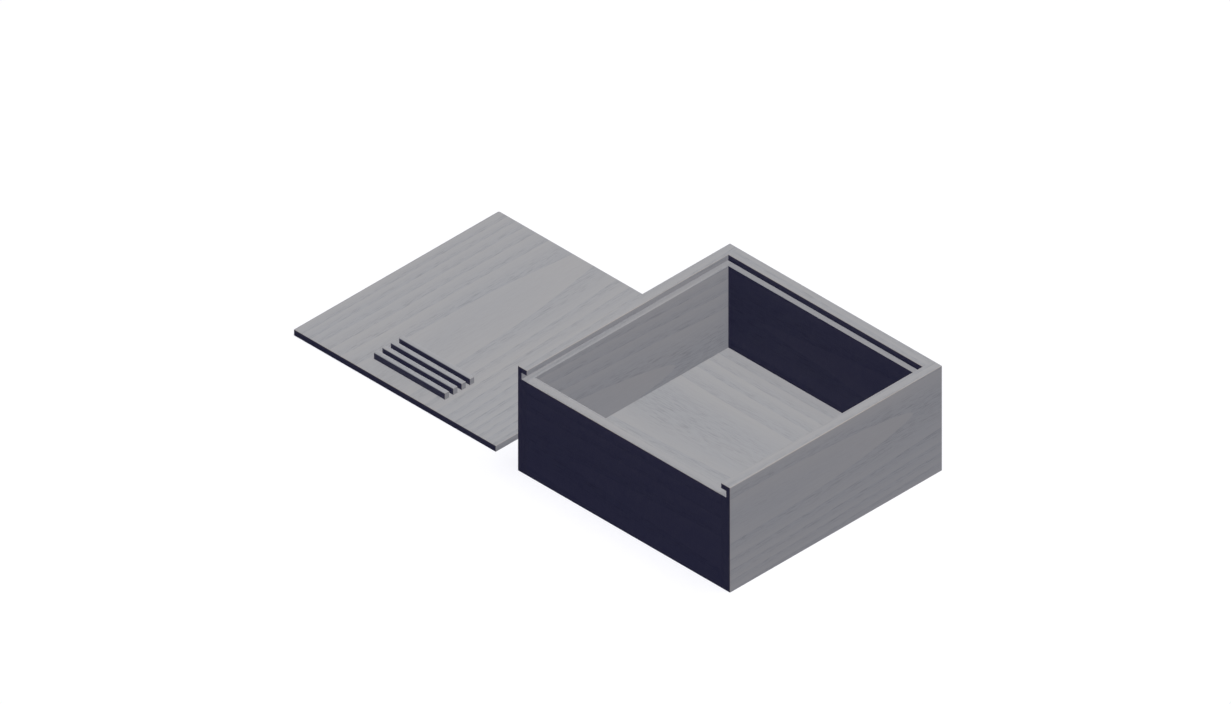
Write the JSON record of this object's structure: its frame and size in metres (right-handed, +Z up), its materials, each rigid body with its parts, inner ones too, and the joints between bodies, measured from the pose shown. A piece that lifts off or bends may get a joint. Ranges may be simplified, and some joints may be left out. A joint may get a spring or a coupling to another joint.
{
  "type": "sliding lid wooden box",
  "caption": "Square open-topped wooden box with a thin lid that slides in grooves from the front, shown taken off beside it, with raised grip ribs on the lid.",
  "frame": {"origin": "middle of the underside of the box, on the surface that it stands on", "axes": "+Z up, -Y the front, where the lid goes in, +X right. The lid lies on the -X side of the box."},
  "size_m": [0.4158, 0.2, 0.0855],
  "materials": {
    "box_wood": "matt grey stain",
    "lid_wood": "matt grey stain",
    "dowel_wood": "bare beech"
  },
  "bodies": {
    "box": {"left_side": "box_wood", "right_side": "box_wood", "front_wall": "box_wood", "back_wall": "box_wood", "bottom_board": "box_wood", "dowel_front_left_lower": "dowel_wood", "dowel_front_left_middle": "dowel_wood", "dowel_front_left_upper": "dowel_wood", "dowel_front_right_lower": "dowel_wood", "dowel_front_right_middle": "dowel_wood", "dowel_front_right_upper": "dowel_wood", "dowel_back_left_lower": "dowel_wood", "dowel_back_left_middle": "dowel_wood", "dowel_back_left_upper": "dowel_wood", "dowel_back_right_lower": "dowel_wood", "dowel_back_right_middle": "dowel_wood", "dowel_back_right_upper": "dowel_wood"},
    "lid": {"lid_panel": "lid_wood", "grip_rib_1": "lid_wood", "grip_rib_2": "lid_wood", "grip_rib_3": "lid_wood", "grip_rib_4": "lid_wood"}
  },
  "joints": [
    {"name": "lid_slide", "type": "slide", "parent": "box", "child": "lid", "axis": [0, -1, 0], "range_m": [0, 0.198]}
  ]
}
